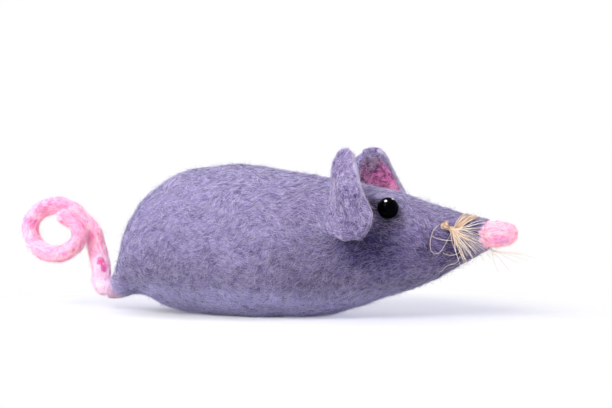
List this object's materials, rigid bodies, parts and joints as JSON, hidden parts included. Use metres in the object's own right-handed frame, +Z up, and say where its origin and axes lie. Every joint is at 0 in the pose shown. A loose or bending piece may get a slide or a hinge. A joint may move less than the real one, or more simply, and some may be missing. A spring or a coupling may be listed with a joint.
{
  "type": "catnip mouse",
  "caption": "Needle-felted wool mouse cat toy with a catnip charge in its stuffing, scooped ears that fold, bead eyes, straw whiskers and a curled tail that swings.",
  "frame": {"origin": "middle of the flat on the belly that the mouse rests on", "axes": "+X from the tail to the nose, +Y to the mouse's left side, +Z up"},
  "size_m": [0.1296, 0.0388, 0.0407],
  "materials": {
    "lavender_felt": "matt needle-felted wool",
    "pink_felt": "matt needle-felted wool",
    "lining_felt": "matt needle-felted wool",
    "core_wool": "loose carded wool",
    "dried_leaf": "crumbled dried leaf",
    "black_bead": "polished",
    "black_thread": "waxed sewing thread",
    "straw_twine": "frayed plant fibre"
  },
  "bodies": {
    "mouse": {"body_skin": "lavender_felt", "core_wool": "core_wool", "catnip_charge": "dried_leaf", "nose_knob": "pink_felt", "eye_bead_right": "black_bead", "eye_bead_left": "black_bead", "eye_thread": "black_thread", "whisker_twine": "straw_twine", "whisker_knot_right": "straw_twine", "whisker_knot_left": "straw_twine", "whisker_tuft_right": "straw_twine", "whisker_tuft_left": "straw_twine"},
    "right_ear": {"ear_right": "lavender_felt", "ear_lining_right": "lining_felt"},
    "left_ear": {"ear_left": "lavender_felt", "ear_lining_left": "lining_felt"},
    "tail_base": {"tail_root": "pink_felt"},
    "tail_end": {"tail_curl": "pink_felt"}
  },
  "joints": [
    {"name": "right_ear_fold", "type": "hinge", "parent": "mouse", "child": "right_ear", "pos_m": [0.01949, -0.01498, 0.02623], "axis": [0.1067, -0.7043, -0.7018], "range_deg": [-12, 50], "stiffness_Nm_per_rad": 0.0003},
    {"name": "left_ear_fold", "type": "hinge", "parent": "mouse", "child": "left_ear", "pos_m": [0.01949, 0.01498, 0.02623], "axis": [-0.1067, -0.7043, 0.7018], "range_deg": [-12, 50], "stiffness_Nm_per_rad": 0.0003},
    {"name": "tail_swing", "type": "hinge", "parent": "mouse", "child": "tail_base", "pos_m": [-0.0432, 0, 0.00559], "axis": [0.9397, 0, 0.342], "range_deg": [-40, 40], "stiffness_Nm_per_rad": 0.002},
    {"name": "tail_tip", "type": "hinge", "parent": "tail_base", "child": "tail_end", "pos_m": [-0.0465, 0, 0.01049], "axis": [0, 1, 0], "range_deg": [-25, 20], "stiffness_Nm_per_rad": 0.002}
  ]
}
